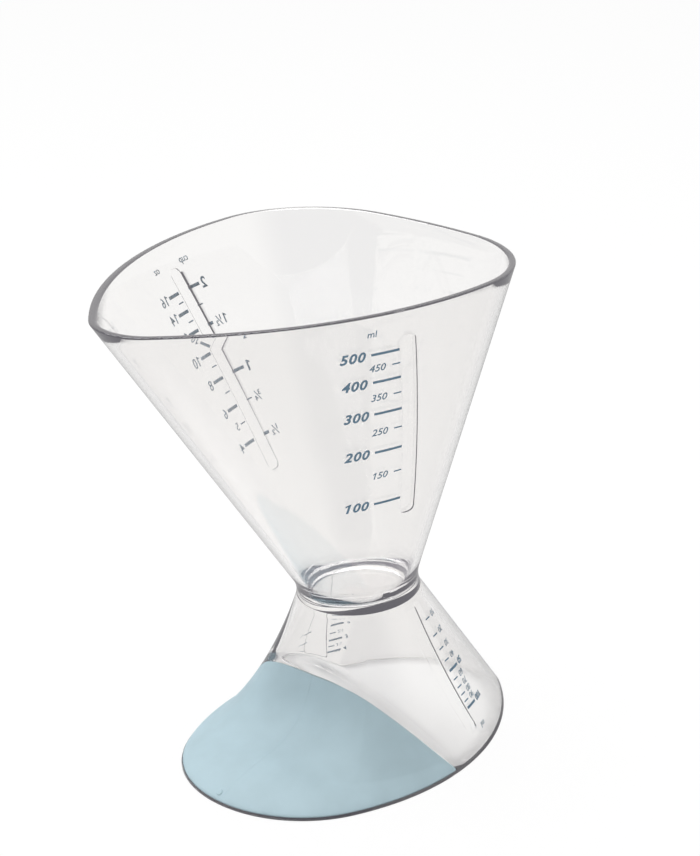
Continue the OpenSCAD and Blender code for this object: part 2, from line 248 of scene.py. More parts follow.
class CupForm:
    """The cup's surfaces as functions of the direction that they face.

    A direction a is in degrees round from the front corner. A share u is a place down the small
    cup's wall, 0 at the neck and 1 at the foot. Lengths are in millimetres.
    """

    tiny: float = 0.002
    degree_step: float = 0.5
    halvings: int = 24
    cad_edge_r: float = 0.5
    grip_ends_between: tuple[float, float] = (60.0, 130.0)

    def __init__(self, sizes: CupSizes) -> None:
        """Works out the outlines and the flare.

        Args:
            sizes: The cup's driving sizes.
        """
        s = sizes
        self.s = s
        self.rim = Outline(
            front_x=s.rim_front_x,
            front_r=s.rim_front_r,
            back_x=s.rim_back_x,
            back_y=s.rim_back_y,
            back_r=s.rim_back_r,
            side_r=s.rim_side_r,
            tail_r=s.rim_tail_r,
        )
        self.foot = Outline(
            front_x=s.foot_front_x,
            front_r=s.foot_front_r,
            back_x=s.foot_back_x,
            back_y=s.foot_back_y,
            back_r=s.foot_back_r,
            side_r=s.foot_side_r,
            tail_r=s.foot_tail_r,
        )
        drop, back, over, nose = np.array([s.toe_drop_h, s.toe_back_h, s.toe_top_h, s.toe_nose_h]) / s.neck_z
        before, top = np.array([s.toe_back_out, back]), np.array([s.toe_top_out, over])
        after = top + (top - before) * s.nose_turn
        self.flare = [np.array([0, 1]), np.array([0, drop]), before, top]
        self.nose = [top, after, np.array([1, nose]), np.array([s.toe_foot_out, 0])]
        front = self.cup_wall(np.array(0.0), s.cup_h - self.cad_edge_r)[0]
        self.centre = np.array([(front + self.foot.at(np.array(TAIL))[0]) / 2, 0, 0])
        self.grip_end = self._grip_end()

    def neck(self, a: Array) -> Array:
        """Finds the neck's oval.

        Args:
            a: Directions.

        Returns:
            Level points.
        """
        c, n = np.cos(np.radians(a)), np.sin(np.radians(a))
        spread = np.hypot(self.s.neck_len_r * c, self.s.neck_wid_r * n)
        return np.stack([self.s.neck_len_r**2 * c, self.s.neck_wid_r**2 * n], -1) / spread[..., None]

    def facing(self, a: Array) -> Array:
        """Level unit vectors in directions a."""
        return np.stack([np.cos(np.radians(a)), np.sin(np.radians(a))], -1)

    def lean(self, a: Array) -> Array:
        """How far the large cup's wall leans out, in radians."""
        out = np.sum((self.rim.at(a) - self.neck(a)) * self.facing(a), -1)
        return np.arctan2(out, self.s.cup_h - self.s.neck_z)

    def cup_wall(self, a: Array, z: Array | float, depth: Array | float = 0.0) -> Array:
        """Finds the large cup's wall.

        Args:
            a: Directions.
            z: Heights.
            depth: Depths below the outer skin.

        Returns:
            Points of the wall.
        """
        z = np.asarray(z, float)
        t = ((z - self.s.neck_z) / (self.s.cup_h - self.s.neck_z))[..., None]
        skin = mix(self.neck(a), self.rim.at(a), t)
        inset = np.asarray(depth, float) / np.cos(self.lean(a))
        return with_height(skin - self.facing(a) * inset[..., None], z)

    def cup_out(self, a: Array) -> Array:
        """Outward unit normals of the large cup's wall."""
        t = self.lean(a)
        return with_height(self.facing(a) * np.cos(t)[..., None], -np.sin(t))

    def cup_speed(self, a: Array, z: Array | float) -> Array:
        """Millimetres that the large cup's wall runs round in one degree."""
        step = self.degree_step
        return length(self.cup_wall(a + step, z) - self.cup_wall(a - step, z)) / (2 * step)

    def toe_curve(self, u: Array) -> Array:
        """Finds the toe's outline, seen from the side.

        Args:
            u: Shares down the outline.

        Returns:
            Pairs of the share out from neck to foot and the share of the neck's height.
        """
        u = np.asarray(u, float)[..., None]
        first = self.s.flare_share
        flare = bezier(self.flare, u / first)
        return np.where(u < first, flare, bezier(self.nose, (u - first) / (1 - first)))

    def foot_skin(self, a: Array, u: Array) -> Array:
        """Finds the small cup's outer skin.

        Args:
            a: Directions.
            u: Shares down the wall.

        Returns:
            Points of the skin.
        """
        a, u = np.broadcast_arrays(np.asarray(a, float), np.asarray(u, float))
        sweep = smooth(1 - np.abs(a) / self.s.toe_spread)[..., None]
        k = mix(np.stack([u, 1 - u], -1), self.toe_curve(u), sweep)
        return with_height(mix(self.neck(a), self.foot.at(a), k[..., :1]), self.s.neck_z * k[..., 1])

    def foot_normal(self, a: Array, u: Array) -> Array:
        """Finds which way the small cup's wall faces.

        Args:
            a: Directions.
            u: Shares down the wall.

        Returns:
            Outward unit normals.
        """
        a, u = np.broadcast_arrays(np.asarray(a, float), np.asarray(u, float))
        down = self.foot_skin(a, u + self.tiny) - self.foot_skin(a, u - self.tiny)
        turn = np.radians(a)
        round_it = np.stack([-np.sin(turn), np.cos(turn), np.zeros_like(turn)], -1)
        n = np.cross(down, round_it)
        return n / length(n)[..., None]

    def foot_wall(self, a: Array, u: Array, depth: Array | float) -> Array:
        """Points at a depth below the small cup's outer skin."""
        inset = np.asarray(depth, float)
        return self.foot_skin(a, u) - self.foot_normal(a, u) * inset[..., None]

    def foot_run(self, a: Array, u: Array) -> Array:
        """Millimetres down the small cup's wall in one unit of its share."""
        run = length(self.foot_skin(a, u + self.tiny) - self.foot_skin(a, u - self.tiny))
        return run / (2 * self.tiny)

    def foot_speed(self, a: Array, u: Array) -> Array:
        """Millimetres that the small cup's wall runs round in one degree."""
        step = self.degree_step
        return length(self.foot_skin(a + step, u) - self.foot_skin(a - step, u)) / (2 * step)

    def foot_depth(self, a: Array, u: Array) -> Array:
        """Finds the small cup's wall thickness, which grows round the grip's pocket.

        Args:
            a: Directions.
            u: Shares down the wall.

        Returns:
            Depths of the inside below the outer skin.
        """
        s = self.s
        above = self.above_grip(self.foot_skin(a, u)) * math.cos(math.radians(s.grip_tilt))
        return s.wall + s.grip_t * smooth(1 - above / s.thick_fade)

    def foot_inside(self, a: Array, u: Array) -> Array:
        """Points of the small cup's inside."""
        return self.foot_wall(a, u, self.foot_depth(a, u))

    def halved(
        self, a: Array, is_above: Callable[[Array], Array], top: float = 0.0, bottom: float = 1.0
    ) -> Array:
        """Finds where a test turns false down each wall line.

        Args:
            a: Directions of the wall lines.
            is_above: Test of shares, true above the wanted place.
            top: Share to search from.
            bottom: Share to search to.

        Returns:
            One share for each direction.
        """
        high, low = np.full(np.shape(a), top), np.full(np.shape(a), bottom)
        for _ in range(self.halvings):
            middle = (high + low) / 2
            above = is_above(middle)
            high, low = np.where(above, middle, high), np.where(above, low, middle)
        return (high + low) / 2

    def place_at(self, a: Array, z: Array | float, top: float = 0.0) -> Array:
        """Shares down the wall lines a, from share top on, at which the small cup's skin is at height z."""
        return self.halved(a, lambda u: self.foot_skin(a, u)[..., 2] > z, top)

    def above_grip(self, p: Array) -> Array:
        """Heights of points above the tilted plane that the grip's edge lies in."""
        return p[..., 2] - math.tan(math.radians(self.s.grip_tilt)) * (p[..., 0] - self.s.grip_start_x)

    def _grip_end(self) -> float:
        """Finds where the grip's edge has run down to its lowest height.

        Returns:
            The direction of the grip's end on either side.
        """
        low, high = self.grip_ends_between
        for _ in range(self.halvings):
            middle = (low + high) / 2
            a = np.array(middle)
            tip = self.foot_skin(a, self.place_at(a, self.s.lip_h + self.s.grip_tip_h))
            low, high = (middle, high) if self.above_grip(tip) < 0 else (low, middle)
        return low

    def pocket_top(self, a: Array) -> Array:
        """Shares down the wall lines at which the grip's pocket starts."""
        edge = self.halved(a, lambda u: self.above_grip(self.foot_skin(a, u)) > 0)
        return np.minimum(edge, self.place_at(a, self.s.lip_h + self.s.grip_tip_h))

    def strip_front(self, z: Array | float) -> Array:
        """Direction of the front edge of the large cup's scale strips."""
        t = (np.asarray(z, float) - self.s.neck_z) / (self.s.cup_h - self.s.neck_z)
        return mix(self.s.strip_waist_angle, self.s.strip_rim_angle, t)

    def strip_back(self, z: Array | float) -> Array:
        """Direction of the back edge of the large cup's scale strips."""
        front = self.strip_front(z)
        return front + self.s.strip_w / self.cup_speed(front, z)


# Meshes


def finished(name: str, mesh: bpy.types.Mesh, sharp_from: float = 38.0) -> bpy.types.Object:
    """Links a mesh as an object of the scene, with its faces outward.

    Args:
        name: Name of the new object.
        mesh: The mesh, in metres.
        sharp_from: Edges that turn by more than this many degrees stay sharp.

    Returns:
        The object.
    """
    work = bmesh.new()
    work.from_mesh(mesh)
    bmesh.ops.recalc_face_normals(work, faces=work.faces)
    work.to_mesh(mesh)
    work.free()
    mesh.polygons.foreach_set("use_smooth", [True] * len(mesh.polygons))
    mesh.set_sharp_from_angle(angle=math.radians(sharp_from))
    obj = bpy.data.objects.new(name, mesh)
    bpy.context.scene.collection.objects.link(obj)
    return obj


def lofted(name: str, rings: Array, origin: Array) -> bpy.types.Object:
    """Makes a closed solid through closed rings of points.

    Args:
        name: Name of the new object.
        rings: Points in millimetres, ring by ring.
        origin: Point that becomes the frame's origin.

    Returns:
        The object, with its end rings closed to their centres.
    """
    number, size = rings.shape[:2]
    ends = np.stack([rings[0].mean(0), rings[-1].mean(0)])
    points = (np.concatenate([rings.reshape(-1, 3), ends]) - origin) * MM
    index = np.arange(number * size).reshape(number, size)
    after = np.roll(index, -1, axis=1)
    quads = np.stack([index[:-1], after[:-1], after[1:], index[1:]], -1).reshape(-1, 4)
    first = np.stack([index[0], np.full(size, number * size), after[0]], -1)
    last = np.stack([after[-1], np.full(size, number * size + 1), index[-1]], -1)
    mesh = bpy.data.meshes.new(name)
    mesh.from_pydata(points.tolist(), [], quads.tolist() + first.tolist() + last.tolist())
    return finished(name, mesh)


def dressed(obj: bpy.types.Object, material: bpy.types.Material) -> bpy.types.Object:
    """Gives an object its material.

    Args:
        obj: The object.
        material: What it is made of.

    Returns:
        The same object.
    """
    obj.data.materials.clear()
    obj.data.materials.append(material)
    return obj


# Materials


def linear(colour: str) -> tuple[float, float, float, float]:
    """Turns an sRGB colour into Blender's linear values.

    Args:
        colour: Hex colour such as #A6BFC9.

    Returns:
        Red, green, blue and a full alpha.
    """
    parts = [int(colour[i : i + 2], 16) / 255 for i in (1, 3, 5)]
    values = [c / 12.92 if c <= 0.04045 else ((c + 0.055) / 1.055) ** 2.4 for c in parts]
    return (values[0], values[1], values[2], 1.0)


def add_node(
    tree: bpy.types.NodeTree,
    kind: str,
    inputs: dict[str | int, object] | None = None,
    **settings: object,
) -> bpy.types.Node:
    """Adds a node to a tree.

    Args:
        tree: Tree that gets the node.
        kind: Blender's name for the type of node.
        inputs: Values or output sockets for the node's inputs.
        **settings: Values for the node's own properties.

    Returns:
        The new node.
    """
    node = tree.nodes.new(kind)
    for name, value in settings.items():
        setattr(node, name, value)
    for socket, value in (inputs or {}).items():
        if isinstance(value, bpy.types.NodeSocket):
            tree.links.new(value, node.inputs[socket])
        else:
            node.inputs[socket].default_value = value
    return node


@dataclass(frozen=True)
class Finish:
    """A plain surface with one colour."""

    name: str
    colour: str
    roughness: float
    ior: float = 1.5
    transmission: float = 0.0

    def shader(self, tree: bpy.types.NodeTree) -> bpy.types.Node:
        """Adds the finish's principled shader."""
        return add_node(
            tree,
            "ShaderNodeBsdfPrincipled",
            {
                "Base Color": linear(self.colour),
                "Roughness": self.roughness,
                "IOR": self.ior,
                "Transmission Weight": self.transmission,
            },
        )

    def texture(self, tree: bpy.types.NodeTree, shader: bpy.types.Node) -> None:
        """Adds nothing, because a plain finish has no pattern."""

    def material(self) -> bpy.types.Material:
        """Makes the material.

        Returns:
            The material, named for the finish.
        """
        made = bpy.data.materials.new(self.name)
        made.use_nodes = True
        tree = made.node_tree
        tree.nodes.clear()
        shader = self.shader(tree)
        self.texture(tree, shader)
        add_node(tree, "ShaderNodeOutputMaterial", {"Surface": shader.outputs["BSDF"]})
        return made


@dataclass(frozen=True)
class ClearFinish(Finish):
    """Clear plastic with a painted glow: a faint emission on deep rays stands in for the light that its walls
    pipe along to their edges.
    """

    # Colour, strength and ray depth of the painted glow, an emission standing in for light piped along the
    # walls
    piped: str = "#ACA9B4"
    piped_strength: float = 0.15
    piped_after: float = 4.5

    def texture(self, tree: bpy.types.NodeTree, shader: bpy.types.Node) -> None:
        """Adds the painted glow, an emission seen only after many reflections inside the wall, in place of
        piped light.

        Args:
            tree: The material's nodes.
            shader: Its principled shader.
        """
        # Painted glow: emission only on rays deeper than a few reflections inside the wall
        depth = add_node(tree, "ShaderNodeLightPath").outputs["Ray Depth"]
        deep = add_node(tree, "ShaderNodeMath", {0: depth, 1: self.piped_after}, operation="GREATER_THAN")
        glow = add_node(
            tree, "ShaderNodeMath", {0: deep.outputs[0], 1: self.piped_strength}, operation="MULTIPLY"
        )
        shader.inputs["Emission Color"].default_value = linear(self.piped)
        tree.links.new(glow.outputs[0], shader.inputs["Emission Strength"])


@dataclass(frozen=True)
class RubberFinish(Finish):
    """Moulded rubber: a fine spark-eroded grain, with soft patches from handling."""

    # The real grain is about 0.1 mm across, too fine to show. It is drawn coarser, to dull the skin.
    grain_mm: float = 0.45
    grain_depth_mm: float = 0.02
    grain_strength: float = 0.6
    grain_detail: float = 2.0
    patch_mm: float = 16.0
    patch_detail: float = 4.0
    patch_range: tuple[float, float] = (0.3, 0.7)
    patch_depth: float = 0.05

    def texture(self, tree: bpy.types.NodeTree, shader: bpy.types.Node) -> None:
        """Adds the grain as a bump, and slightly uneven colour.

        Args:
            tree: The material's nodes.
            shader: Its principled shader.
        """
        place = add_node(tree, "ShaderNodeTexCoord").outputs["Object"]
        grain, patches = [
            add_node(tree, "ShaderNodeTexNoise", {"Vector": place, "Scale": 1 / (mm * MM), "Detail": detail})
            for mm, detail in ((self.grain_mm, self.grain_detail), (self.patch_mm, self.patch_detail))
        ]
        bump = add_node(
            tree,
            "ShaderNodeBump",
            {
                "Height": grain.outputs["Fac"],
                "Distance": self.grain_depth_mm * MM,
                "Strength": self.grain_strength,
            },
        )
        tree.links.new(bump.outputs["Normal"], shader.inputs["Normal"])
        level = add_node(
            tree,
            "ShaderNodeMapRange",
            {
                "Value": patches.outputs["Fac"],
                "From Min": self.patch_range[0],
                "From Max": self.patch_range[1],
                "To Min": 1 - self.patch_depth,
                "To Max": 1 + self.patch_depth,
            },
        )
        tint = add_node(
            tree,
            "ShaderNodeVectorMath",
            {0: linear(self.colour)[:3], "Scale": level.outputs["Result"]},
            operation="SCALE",
        )
        tree.links.new(tint.outputs["Vector"], shader.inputs["Base Color"])


# Clear styrene copolymer from a polished mould: glossy, nearly water clear, a little grey where thick
CLEAR_PLASTIC = ClearFinish("clear_styrene", "#F7F6F5", 0.012, ior=1.57, transmission=1.0)
# Thermoplastic rubber from an eroded mould: a dull skin that spreads the highlights
SOFT_RUBBER = RubberFinish("thermoplastic_rubber", "#AEC5CE", 0.68, ior=1.5)
# Pad-printed ink: flat steel blue with a slight sheen
SCALE_INK = Finish("pad_printing_ink", "#5C7B91", 0.4, ior=1.48)


# Pieces of the cup


@dataclass
class ClearBody:
    """The clear moulding: large cup above, small cup below, with shallow sunk strips for the scales.

    Sizes are in millimetres and angles in degrees. The rest sets how its mesh is divided.
    """

    form: CupForm
    strip_sink: float = 0.17
    strip_groove: float = 0.12
    strip_edge_w: float = 0.45
    strip_corner_r: float = 2.0
    strip_gap: float = 0.5
    strip_low_z: float = 94.5
    strip_high_z: float = 166.5
    groove_narrowing: float = 3.0
    small_strip_low_z: float = 7.0
    small_strip_high_z: float = 52.0
    small_strip_lean: float = 0.105
    seam_w: float = 0.5
    seam_h: float = 0.05
    foot_edge_r: float = 0.3
    floor_fillet_r: float = 2.6
    pocket_ledge: float = 0.02
    pocket_edge_angle: float = 0.4
    grip_clearance: float = 1.2
    grip_slack: float = 0.01
    front_share: float = 0.9
    foot_tail_speed: float = 0.8
    speed_shares: tuple[float, float] = (0.02, 0.98)
    foot_share: float = 0.99
    belly_share: float = 0.5
    floor_shares: tuple[float, ...] = (0.04, 0.25, 0.5, 0.75, 0.93)
    roof_shares: tuple[float, ...] = (0.0, 0.06, 0.2, 0.45, 0.7, 0.96)
    lip_shares: tuple[float, ...] = (0.35, 0.7)
    strip_margin: float = 0.3
    neck_margin: float = 0.5
    columns_between: tuple[int, ...] = (80, 1, 10, 7, 14, 7, 70, 4)
    fillet_rows: int = 8
    inner_cup_rows: int = 26
    rim_rows: int = 5
    outer_cup_rows: tuple[int, ...] = (6, 12, 30, 12, 14)
    neck_rows: int = 17
    outer_foot_rows: int = 90
    pocket_rows: int = 40
    inner_foot_rows: int = 60
    detail: float = 1.0

    @property
    def rim_z(self) -> float:
        """Height at which the rim's rounding starts."""
        return self.form.s.cup_h - self.form.s.edge_r

    def small_strip_edge(self, marks_angle: float | Array, z: Array) -> Array:
        """Direction of a small strip's back edge, which leans away from the marks as it rises."""
        return marks_angle - self.small_strip_lean * np.maximum(z - self.small_strip_low_z, 0.0)

    def knots(self, z: Array, marks_angle: float) -> Array:
        """Finds the directions of the columns that follow the strips and the pocket.

        Args:
            z: Heights of the rows of the mesh.
            marks_angle: Where the marks of the small cup start on this side.

        Returns:
            One row of rising directions, from 0 to 180 degrees, for each height.
        """
        f, s = self.form, self.form.s
        low = smooth((s.neck_z - z) / s.neck_blend)
        upper_z = np.maximum(z, s.neck_z)
        gap = self.strip_gap / f.cup_speed(f.strip_front(upper_z), upper_z)
        cup_front, cup_back = f.strip_front(upper_z) + gap, f.strip_back(upper_z)
        behind = self.small_strip_edge(marks_angle, z)
        foot_speed = f.foot_speed(behind, np.clip(1 - z / s.neck_z, *self.speed_shares))
        foot_front = np.maximum(behind - s.strip_w / foot_speed, f.grip_end + self.grip_clearance)
        front = mix(cup_front, foot_front, low)
        back = mix(cup_back, behind, low)
        half = self.strip_edge_w / 2 / mix(f.cup_speed(cup_front, upper_z), foot_speed, low)
        pocket = mix(front * self.front_share, f.grip_end, low)
        tail_speed = mix(f.cup_speed(np.full_like(z, TAIL), upper_z), self.foot_tail_speed, low)
        zero = np.zeros_like(z)
        first = [zero, pocket, pocket + self.pocket_edge_angle]
        strip = [front - half, front + half, back - half, back + half]
        return np.stack([*first, *strip, TAIL - self.seam_w / tail_speed, zero + TAIL], -1)

    def columns(self, z: Array) -> Array:
        """Finds the directions of all columns round the cup.

        Args:
            z: Heights of the rows of the mesh.

        Returns:
            One row of directions for each height.
        """
        numbers = [max(1, round(n * self.detail)) for n in self.columns_between]
        sides = []
        for marks_angle in (self.form.s.small_scale_angle, self.form.s.small_ounce_angle):
            knots = self.knots(z, marks_angle)
            spans = [
                first[:, None] + (last - first)[:, None] * steps(0, 1, n)
                for first, last, n in zip(knots.T, knots.T[1:], numbers)
            ]
            sides.append(np.concatenate([*spans, knots[:, -1:]], 1))
        return np.concatenate([sides[0], -sides[1][:, -2:0:-1]], 1)

    def level_columns(self, z: float) -> Array:
        """Directions of all columns in one row at height z."""
        return self.columns(np.array([float(z)]))[0]

    def relief(self, across: Array, up: Array, low: float, high: float) -> Array:
        """Finds the relief of a sunk strip with rounded corners and a groove round it.

        Args:
            across: Distances from the strip's front edge.
            up: Distances along the strip.
            low: Where the strip starts.
            high: Where it ends.

        Returns:
            Heights of the relief.
        """
        middle, r = (self.form.s.strip_w + self.strip_gap) / 2, self.strip_corner_r
        half_w, half_l = middle - self.strip_gap, (high - low) / 2
        x = np.abs(across - middle) - (half_w - r)
        y = np.abs(up - (low + high) / 2) - (half_l - r)
        outside = np.hypot(np.maximum(x, 0), np.maximum(y, 0)) + np.minimum(np.maximum(x, y), 0) - r
        groove = self.strip_groove * np.exp(-((self.groove_narrowing * outside / self.strip_edge_w) ** 2))
        return -self.strip_sink * smooth(0.5 - outside / self.strip_edge_w) - groove

    def seam(self, from_tail: Array) -> Array:
        """Height of the parting line at distances from the middle of the back."""
        return self.seam_h * smooth(1 - np.abs(from_tail) / self.seam_w)

    def outer_cup(self, a: Array, z: Array) -> Array:
        """Finds the outer skin of the large cup with its strips and its parting line.

        Args:
            a: Directions.
            z: Heights.

        Returns:
            Points of the skin.
        """
        f = self.form
        side = np.abs(a)
        across = (side - f.strip_front(z)) * f.cup_speed(side, z)
        lift = self.relief(across, z, self.strip_low_z, self.strip_high_z)
        lift = lift + self.seam((TAIL - side) * f.cup_speed(np.full_like(side, TAIL), z))
        return f.cup_wall(a, z) + f.cup_out(a) * lift[..., None]

    def outer_foot(self, a: Array, u: Array) -> Array:
        """Finds the outer skin of the small cup with its strips.

        Args:
            a: Directions.
            u: Shares down the wall.

        Returns:
            Points of the skin.
        """
        f = self.form
        side = np.abs(a)
        skin = f.foot_skin(a, u)
        marks_angle = np.where(a < 0, f.s.small_ounce_angle, f.s.small_scale_angle)
        edge = self.small_strip_edge(marks_angle, skin[..., 2])
        across = f.s.strip_w - (edge - side) * f.foot_speed(side, u)
        lift = self.relief(across, skin[..., 2], self.small_strip_low_z, self.small_strip_high_z)
        return skin + f.foot_normal(a, u) * lift[..., None]

    def blend_end(self, a: Array) -> Array:
        """Shares down the small cup's wall at which the neck's blend ends."""
        return self.form.s.neck_blend / self.form.foot_run(a, np.full_like(a, self.form.tiny))

    def up_inside(self) -> list[Array]:
        """Makes the large cup's floor and the inside of its wall.

        Returns:
            Rows of points, out from the middle of the floor and up to the rim.
        """
        f, s = self.form, self.form.s
        a = self.level_columns(s.floor_z)
        corner = f.cup_wall(a, s.floor_z, s.wall)
        inner = corner - with_height(f.facing(a) * self.floor_fillet_r, 0.0)
        rows = [mix(inner.mean(0), inner, t) for t in self.floor_shares]
        fillet_z = s.floor_z + self.floor_fillet_r
        curve = [inner, corner, f.cup_wall(a, fillet_z, s.wall)]
        rows += [bezier(curve, np.array([t])) for t in steps(0, 1, self.fillet_rows)]
        heights = steps(fillet_z, self.rim_z, self.inner_cup_rows)
        return rows + [f.cup_wall(self.level_columns(z), z, s.wall) for z in heights]

    def over_rim(self) -> list[Array]:
        """Makes the rounded rim.

        Returns:
            Rows of points, over its inner edge and then its outer one.
        """
        f, s = self.form, self.form.s
        a = self.level_columns(self.rim_z)
        turns = np.linspace(0, math.pi / 2, self.rim_rows)
        rounded = list(zip(self.rim_z + s.edge_r * np.sin(turns), s.edge_r * (1 - np.cos(turns))))
        rows = [f.cup_wall(a, z, s.wall - inset) for z, inset in rounded]
        return rows + [f.cup_wall(a, z, inset) for z, inset in rounded[::-1]]

    def down_cup(self) -> list[Array]:
        """Makes the large cup's outer wall.

        Returns:
            Rows of points, close together at the ends of the strips.
        """
        s = self.form.s
        margin, corner = self.strip_margin, self.strip_corner_r + self.strip_margin
        stops = [
            self.rim_z,
            self.strip_high_z + margin,
            self.strip_high_z - corner,
            self.strip_low_z + corner,
            self.strip_low_z - margin,
            s.neck_z + s.neck_blend + self.neck_margin,
        ]
        rows = []
        for first, last, n in zip(stops, stops[1:], self.outer_cup_rows):
            for z in steps(first, last, max(2, round(n * self.detail))):
                a = self.level_columns(z)
                rows.append(self.outer_cup(a, np.full(a.shape, z)))
        return rows

    def round_neck(self) -> list[Array]:
        """Makes the blend round the outside of the neck.

        Returns:
            Rows of points, from the large cup's wall to the small one's.
        """
        f, s = self.form, self.form.s
        rows = []
        for t in np.linspace(0, 1, self.neck_rows):
            a = self.level_columns(s.neck_z + s.neck_blend * (1 - 2 * t))
            up = f.cup_wall(a, s.neck_z + s.neck_blend * np.cos(f.lean(a)))
            waist = f.foot_skin(a, np.zeros_like(a))
            rows.append(bezier([up, waist, f.foot_skin(a, self.blend_end(a))], np.array([t])))
        return rows

    def down_foot(self) -> list[Array]:
        """Makes the small cup's outer wall above the pocket.

        Returns:
            Rows of points.
        """
        f, s = self.form, self.form.s
        start = s.neck_blend / s.neck_z
        rows = []
        for t in np.linspace(0, 1, round(self.outer_foot_rows * self.detail))[1:]:
            a = self.level_columns(s.neck_z * (1 - start) * (1 - t))
            rows.append(self.outer_foot(a, mix(self.blend_end(a), f.pocket_top(a), t)))
        return rows

    def under_grip(self, a: Array) -> list[Array]:
        """Makes the pocket that holds the grip, the lip below it and the edge of the foot.

        Args:
            a: Directions of the columns.

        Returns:
            Rows of points.
        """
        f, s = self.form, self.form.s
        top, lip = f.pocket_top(a), f.place_at(a, s.lip_h)
        depth = np.where(np.abs(a) <= f.grip_end + self.grip_slack, s.grip_t, 0.0)
        ledge = self.pocket_ledge / f.foot_run(a, lip)
        shares = np.linspace(0, 1, self.pocket_rows)
        rows = [f.foot_wall(a, mix(top + ledge, lip - ledge, t), depth) for t in shares]
        end = 1 - self.foot_edge_r / f.foot_run(a, np.full_like(a, self.foot_share))
        rows += [f.foot_skin(a, u) for u in (lip, *(mix(lip, 1.0, t) for t in self.lip_shares), end)]
        return [*rows, with_height(f.foot_wall(a, np.ones_like(a), self.foot_edge_r), 0.0)]

    def up_small_cup(self, a: Array) -> list[Array]:
        """Makes the inside of the small cup.

        Args:
            a: Directions of the columns.

        Returns:
            Rows of points, up from its mouth and in to the middle of its roof.
        """
        f, s = self.form, self.form.s
        mouth = f.halved(a, lambda u: f.foot_inside(a, u)[..., 2] > 0.0, top=self.belly_share)
        roof = f.halved(a, lambda u: f.foot_inside(a, u)[..., 2] > s.ceiling_z, bottom=self.belly_share)
        shares = np.linspace(0, 1, self.inner_foot_rows)[1:-1]
        rows = [with_height(f.foot_inside(a, mouth), 0.0)]
        rows += [f.foot_inside(a, mix(mouth, roof, t)) for t in shares]
        ring = with_height(f.foot_inside(a, roof), s.ceiling_z)
        return rows + [mix(ring, ring.mean(0), t) for t in self.roof_shares]

    def build(self) -> bpy.types.Object:
        """Makes the moulding.

        Returns:
            One solid, lofted from the middle of the large cup's floor to that of the small cup's roof.
        """
        foot = self.level_columns(0.0)
        rows = self.up_inside() + self.over_rim() + self.down_cup() + self.round_neck()
        rows += self.down_foot() + self.under_grip(foot) + self.up_small_cup(foot)
        return lofted("clear_moulding", np.stack(rows), self.form.centre)


@dataclass
class SoftGrip:
    """The rubber skin that fills the pocket over the toe, and the mark of its moulding gate.

    Sizes are in millimetres and angles in degrees. The rest sets how the meshes are divided.
    """

    form: CupForm
    edge_r: float = 0.35
    edge_parts: int = 3
    bond: float = 0.02
    seam_w: float = 0.4
    seam_h: float = 0.1
    gate_angle: float = -3.4
    gate_z: float = 3.3
    gate_r: float = 1.15
    gate_h: float = 0.3
    gate_from: float = 0.5
    gate_sides: int = 32
    gate_profile: tuple[tuple[float, float], ...] = (
        (1.0, -0.4),
        (1.0, 0.0),
        (0.96, 0.6),
        (0.86, 0.92),
        (0.7, 1.0),
        (0.45, 0.75),
        (0.1, 0.7),
    )
    seam_columns: tuple[float, ...] = (0.0, 0.12, 0.25, 0.4, 0.6)
    even_from: float = 0.9
    even_columns: int = 120
    edge_rows: int = 6
    face_rows: int = 90
    back_rows: int = 40
    detail: float = 1.0

    def build(self) -> bpy.types.Object:
        """Makes the skin, flush with the clear wall and with softly rounded edges.

        Returns:
            One solid.
        """
        f, s = self.form, self.form.s
        even = np.linspace(self.even_from, f.grip_end, round(self.even_columns * self.detail))
        half = np.concatenate([self.seam_columns, even])
        a = np.concatenate([-half[:0:-1], half])
        top, lip = f.pocket_top(a), f.place_at(a, s.lip_h)
        middle = mix(top, lip, 0.5)
        rounding = np.minimum(self.edge_r / f.foot_run(a, middle), (lip - top) / self.edge_parts)
        seam = self.seam_h * smooth(1 - np.abs(a) * f.foot_speed(a, middle) / self.seam_w)

        def rounded(u: Array, turn: float) -> Array:
            """Row of points of a rounded edge, a turn out from its foot."""
            inset = self.edge_r * (1 - math.sin(turn))
            return f.foot_wall(a, u, inset - seam * math.sin(turn))

        turns = np.linspace(0, math.pi / 2, self.edge_rows)
        faces = np.linspace(0, 1, round(self.face_rows * self.detail))[1:-1]
        backs = np.linspace(1, 0, self.back_rows)
        rows = [rounded(top + rounding * (1 - math.cos(turn)), turn) for turn in turns]
        rows += [f.foot_wall(a, mix(top + rounding, lip - rounding, t), -seam) for t in faces]
        rows += [rounded(lip - rounding * (1 - math.cos(turn)), turn) for turn in turns[::-1]]
        rows += [f.foot_wall(a, mix(top, lip, t), s.grip_t + self.bond) for t in backs]
        return lofted("grip_skin", np.stack(rows, 1), f.centre)

    def gate(self) -> bpy.types.Object:
        """Makes the low round mark that the moulding gate left near the nose.

        Returns:
            One small solid, its foot sunk into the skin.
        """
        f = self.form
        a0 = np.array(self.gate_angle)
        u0 = f.place_at(a0, self.gate_z, self.gate_from)
        around = steps(0, 2 * math.pi, self.gate_sides)
        rings = []
        for share, rise in self.gate_profile:
            r = self.gate_r * share
            a = a0 + r * np.cos(around) / f.foot_speed(a0, u0)
            u = u0 + r * np.sin(around) / f.foot_run(a0, u0)
            rings.append(f.foot_wall(a, u, -self.gate_h * rise))
        return lofted("gate_mark", np.stack(rings), f.centre)


# Scales


def islands(work: bmesh.types.BMesh) -> list[list[bmesh.types.BMVert]]:
    """Parts a mesh into its separate pieces.

    Args:
        work: The mesh.

    Returns:
        The vertices of each piece.
    """
    left, found = set(work.verts), []
    while left:
        island, queue = [], [left.pop()]
        while queue:
            vert = queue.pop()
            island.append(vert)
            joined = [edge.other_vert(vert) for edge in vert.link_edges]
            fresh = [other for other in joined if other in left]
            left.difference_update(fresh)
            queue.extend(fresh)
        found.append(island)
    return found


